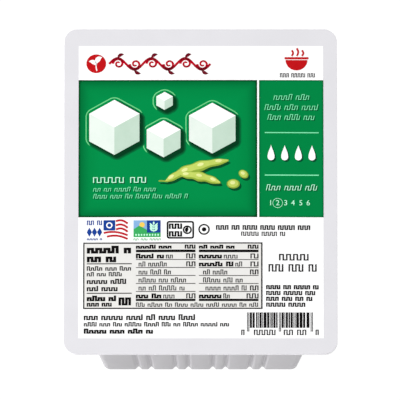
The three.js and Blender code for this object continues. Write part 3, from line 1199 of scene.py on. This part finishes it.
# Gravure inks: a light warm grey, and a near black that is a little softer than the small print's.
TABLE_INKS = [
    printed_ink("warm_grey_fill_ink", "#deddda", "#dbdad7"),
    printed_ink("frame_grey_ink", "#242222", "#1e1c1c"),
]
ground_shapes = [(0, 0, rectangle, *TABLE), (1, 1, frame_line, TABLE_LINE, *TABLE)]
ground_shapes += [(1, 1, rectangle, *HEADING_COLUMN, *rule) for rule in HEADING_RULES]
table_shapes = [(0, 1, small_print, line) for line in (FOOT_LINE, *HEADING_LINES)]
table_shapes += [(0, 1, small_print, line, True) for line in TOTAL_LINES]
for (left, right), rows in zip(COLUMNS, ROWS):
    column_heading = (left, left + COLUMN_HEADING_LENGTH, *COLUMN_HEADING)
    share_heading = (right - SHARE_HEADING_LENGTH, right, *SHARE_HEADING)
    table_shapes.append((0, 1, small_print, column_heading))
    table_shapes.append((0, 1, small_print, share_heading, True))
    table_shapes += [(0, 1, rectangle, left, right, *rule) for rule in HEAVY_RULES]
    for row, (indent, bold, light, share) in enumerate(rows):
        top = ROW_TOP - row * ROW_PITCH
        bottom, start = top - ROW_HEIGHT, left + indent
        if row:
            y = top + FINE_RULE_RISE
            rule = (y - FINE_RULE / 2, y + FINE_RULE / 2)
            ground_shapes.append((1, 1, rectangle, left, right, *rule))
        if bold:
            table_shapes.append((0, 1, small_print, (start, start + bold, bottom, top, *BOLD)))
            start += bold + GAP
        table_shapes.append((0, 1, small_print, (start, start + light, bottom, top, *LIGHT)))
        if share:
            share_line = (right - share, right, bottom, top, *SHARE)
            table_shapes.append((0, 1, small_print, share_line, True))
print_piece("table_ground", TABLE_INKS, ground_shapes)
print_piece("table_print", [black_ink], table_shapes)

# Bar code -------------------------------------------------------------------------------------
# A bar code of no real article, printed in black: bars and gaps of a few modules each, with long
# guard bars at the sides and in the middle, over a row of plain strokes.

BAR_MODULE = 0.283
BAR_LEFT = 19.0
BAR_TOP, BAR_BOTTOM, GUARD_BOTTOM = -51.8, -58.4, -60.0
GUARDS = [(0, 1), (2, 3), (46, 47), (48, 49), (92, 93), (94, 95)]
HALVES = [(3, 46), (49, 92)]
BAR_WIDTHS = (1, 2, 3, 3, 4)
GAP_WIDTHS = (1, 1, 1, 2)
CODE_SEED = 4
CODE_LINES = [
    (16.6, 17.9, -61.5, -59.2, 0.46, 0.84),
    (21.8, 30.6, -61.5, -59.2, 0.46, 1.1),
    (34.0, 43.2, -61.5, -59.2, 0.46, 1.1),
    (47.0, 48.3, -61.5, -59.2, 0.46, 0.84),
]


def code_bar(flat, start, end, foot):
    """Adds a bar that runs from one module to another and down to a foot."""
    left, right = BAR_LEFT + start * BAR_MODULE, BAR_LEFT + end * BAR_MODULE
    rectangle(flat, left, right, foot, BAR_TOP)


code_draw = random.Random(CODE_SEED)
code_shapes = [(0, 0, small_print, line, True) for line in CODE_LINES]
code_shapes += [(0, 0, code_bar, *guard, GUARD_BOTTOM) for guard in GUARDS]
for half_start, half_end in HALVES:
    module = half_start + code_draw.choice(GAP_WIDTHS)
    while module < half_end - 1:
        end = min(module + code_draw.choice(BAR_WIDTHS), half_end - 1)
        code_shapes.append((0, 0, code_bar, module, end, BAR_BOTTOM))
        module = end + code_draw.choice(GAP_WIDTHS)
print_piece("bar_code", [black_ink], code_shapes)

# Studio ---------------------------------------------------------------------------------------
# The tub stands on a light table, whose brightness is nearly all its own, in a tent of cloth that
# is brightest on the left, with a weaker fill on the right. One large soft lamp stands on the left,
# high and a little in front.

FLOOR_REACH = 2500
FLOOR_DROP = 0.1
FLOOR_CELLS = 8
OPAL_HAZE_SIZE = 250
floor = bmesh.new()
bmesh.ops.create_grid(floor, x_segments=FLOOR_CELLS, y_segments=FLOOR_CELLS, size=FLOOR_REACH)
bmesh.ops.translate(floor, verts=floor.verts, vec=(0, 0, -FLOOR_DROP))

# Opal acrylic sheet, cast and lit from below: an even white glow, with a matt face that reflects
# next to nothing.
opal_acrylic, tree, _, opal_haze = new_material("opal_acrylic_table", OPAL_HAZE_SIZE, detail=2)
opal_colour = add_node(tree, "ValToRGB", {"Fac": opal_haze}, [(0.3, "#3e3e3e"), (0.7, "#424242")])
opal_finish = {
    "Base Color": opal_colour,
    "Roughness": 0.6,
    "Specular IOR Level": 0.1,
    "Emission Color": colour("#ffffff"),
    "Emission Strength": 0.995,
}
add_node(tree, "OutputMaterial", {"Surface": add_node(tree, "BsdfPrincipled", opal_finish)})
table_top = finish_mesh("table_top", floor, [opal_acrylic])
table_top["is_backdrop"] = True

# The tent's cloth, from its right side at 0 to its left side at 1.
CLOTH_STOPS = [(0.0, "#b8b8b8"), (0.3, "#565656"), (0.5, "#505050"), (1.0, "#ffffff")]
tent = bpy.data.worlds.new("white_tent")
tent.use_nodes = True
tree = tent.node_tree
tree.nodes.clear()
direction = add_node(tree, "TexCoord").outputs["Generated"]
leftness = add_node(tree, "VectorMath", {0: direction, 1: (-1, 0, 0)}, operation="DOT_PRODUCT")
across_tent = add_node(tree, "MapRange", {"Value": leftness.outputs["Value"], "From Min": -1})
cloth = add_node(tree, "ValToRGB", {"Fac": across_tent}, CLOTH_STOPS)
glow = add_node(tree, "Background", {"Color": cloth, "Strength": 2.0})
add_node(tree, "OutputWorld", {"Surface": glow})
bpy.context.scene.world = tent


def aim(thing, place, target):
    """Puts a lamp or a camera at a place and points it at a target."""
    thing.location = place
    thing.rotation_euler = (target - place).to_track_quat("-Z", "Y").to_euler()
    bpy.context.scene.collection.objects.link(thing)


LAMP_PLACE = Vector((-2.2, -0.6, 1.95))
lid_centre = Vector((0, 0, film_high.z))
lamp = bpy.data.lights.new("soft_lamp", "AREA")
lamp.size = 1.0
lamp.energy = 80
aim(bpy.data.objects.new("soft_lamp", lamp), LAMP_PLACE, lid_centre)

# The camera looks along +Y from well above. The lid's middle sits a little above the picture's
# middle, which leaves room for the strip of front wall below it.
PICTURE_PIXELS = 400
PIXELS_PER_MM = 2.4387
LID_CENTRE_ACROSS = 0.6
LID_CENTRE_ABOVE = 8.75
VIEW_HEIGHT = math.radians(72.1)
SENSOR = 36
FOCAL_LENGTH = 1600
picture_size = PICTURE_PIXELS / PIXELS_PER_MM * MM
away = Vector((0, -math.cos(VIEW_HEIGHT), math.sin(VIEW_HEIGHT)))
picture_up = Vector((0, math.sin(VIEW_HEIGHT), math.cos(VIEW_HEIGHT)))
off_middle = Vector((LID_CENTRE_ACROSS, 0, 0)) + picture_up * LID_CENTRE_ABOVE
target = lid_centre - off_middle / PIXELS_PER_MM * MM
camera_data = bpy.data.cameras.new("long_lens")
camera_data.lens = FOCAL_LENGTH
camera_data.sensor_width = SENSOR
camera_data.clip_end = 20
camera = bpy.data.objects.new("long_lens", camera_data)
aim(camera, target + away * (picture_size * FOCAL_LENGTH / SENSOR), target)
bpy.context.scene.camera = camera
bpy.context.scene.view_settings.view_transform = "Standard"

# The CAD box and the box of what is shown.
shown_low, shown_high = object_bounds()
sizes = {
    "cad": [list(cad_low), list(cad_high)],
    "shown": [list(shown_low), list(shown_high)],
}
